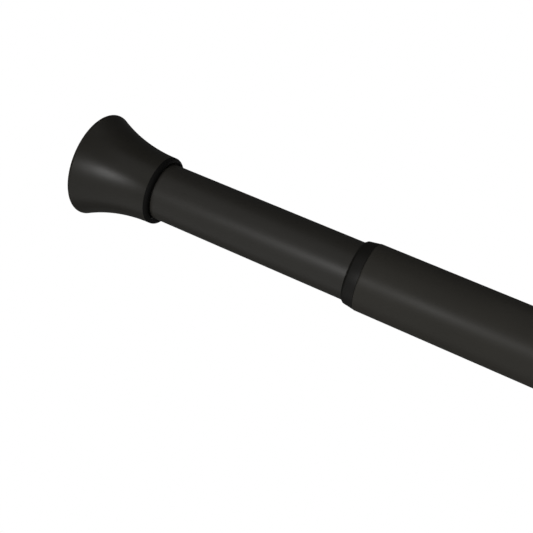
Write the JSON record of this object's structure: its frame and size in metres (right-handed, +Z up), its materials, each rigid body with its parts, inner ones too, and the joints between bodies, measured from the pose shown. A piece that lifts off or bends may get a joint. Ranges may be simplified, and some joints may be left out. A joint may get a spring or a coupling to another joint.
{
  "type": "spring tension rod",
  "caption": "Telescoping tension rod with flared end caps, rubber wall pads and an inner screw and spring that press it between two walls.",
  "frame": {"origin": "centre of the wall face of the rubber pad at the outer tube's end", "axes": "+X along the rod, from the outer tube's pad to the inner tube's pad; +Z up; +Y to the side, level"},
  "size_m": [0.4758, 0.0404, 0.0404],
  "materials": {
    "tube_coat": "satin dark bronze powder coat on steel tube",
    "cap_plastic": "fine satin moulding, coloured to match the tubes",
    "collar_plastic": "matte dark moulding",
    "pad_rubber": "matte grip rubber",
    "plug_plastic": "plain black moulding",
    "drive_plastic": "natural white bearing plastic",
    "fastener_steel": "bright zinc",
    "spring_steel": "oiled spring wire"
  },
  "bodies": {
    "outer_rod": {"outer_tube": "tube_coat", "tube_collar": "collar_plastic", "outer_cap": "cap_plastic", "outer_pad": "pad_rubber", "outer_end_plug": "plug_plastic", "outer_cap_screw": "fastener_steel", "outer_screw_washer": "fastener_steel", "tension_spring": "spring_steel"},
    "screw_carriage": {"spring_follower": "drive_plastic", "cross_pin": "fastener_steel", "drive_screw": "drive_plastic", "stop_washer": "fastener_steel", "stop_clip": "spring_steel"},
    "inner_foot": {"inner_cap": "cap_plastic", "inner_pad": "pad_rubber"},
    "inner_rod": {"inner_tube": "tube_coat", "inner_end_plug": "plug_plastic", "swivel_bolt": "fastener_steel", "swivel_washer": "fastener_steel", "drive_nut": "plug_plastic"}
  },
  "joints": [
    {"name": "spring_press", "type": "slide", "parent": "outer_rod", "child": "screw_carriage", "axis": [-1, 0, 0], "range_m": [0, 0.02], "stiffness_N_per_m": 2290, "springref_m": -0.01, "deforming": ["tension_spring"]},
    {"name": "screw_extension", "type": "slide", "parent": "screw_carriage", "child": "inner_foot", "axis": [1, 0, 0], "range_m": [-0.045, 0.075]},
    {"name": "tube_twist", "type": "hinge", "parent": "inner_foot", "child": "inner_rod", "pos_m": [0.45, 0, 0], "axis": [1, 0, 0], "range_deg": [-1621, 2701]}
  ],
  "couplings": [
    {"joint": "tube_twist", "follows": "screw_extension", "rad_per_m": 628.32}
  ]
}
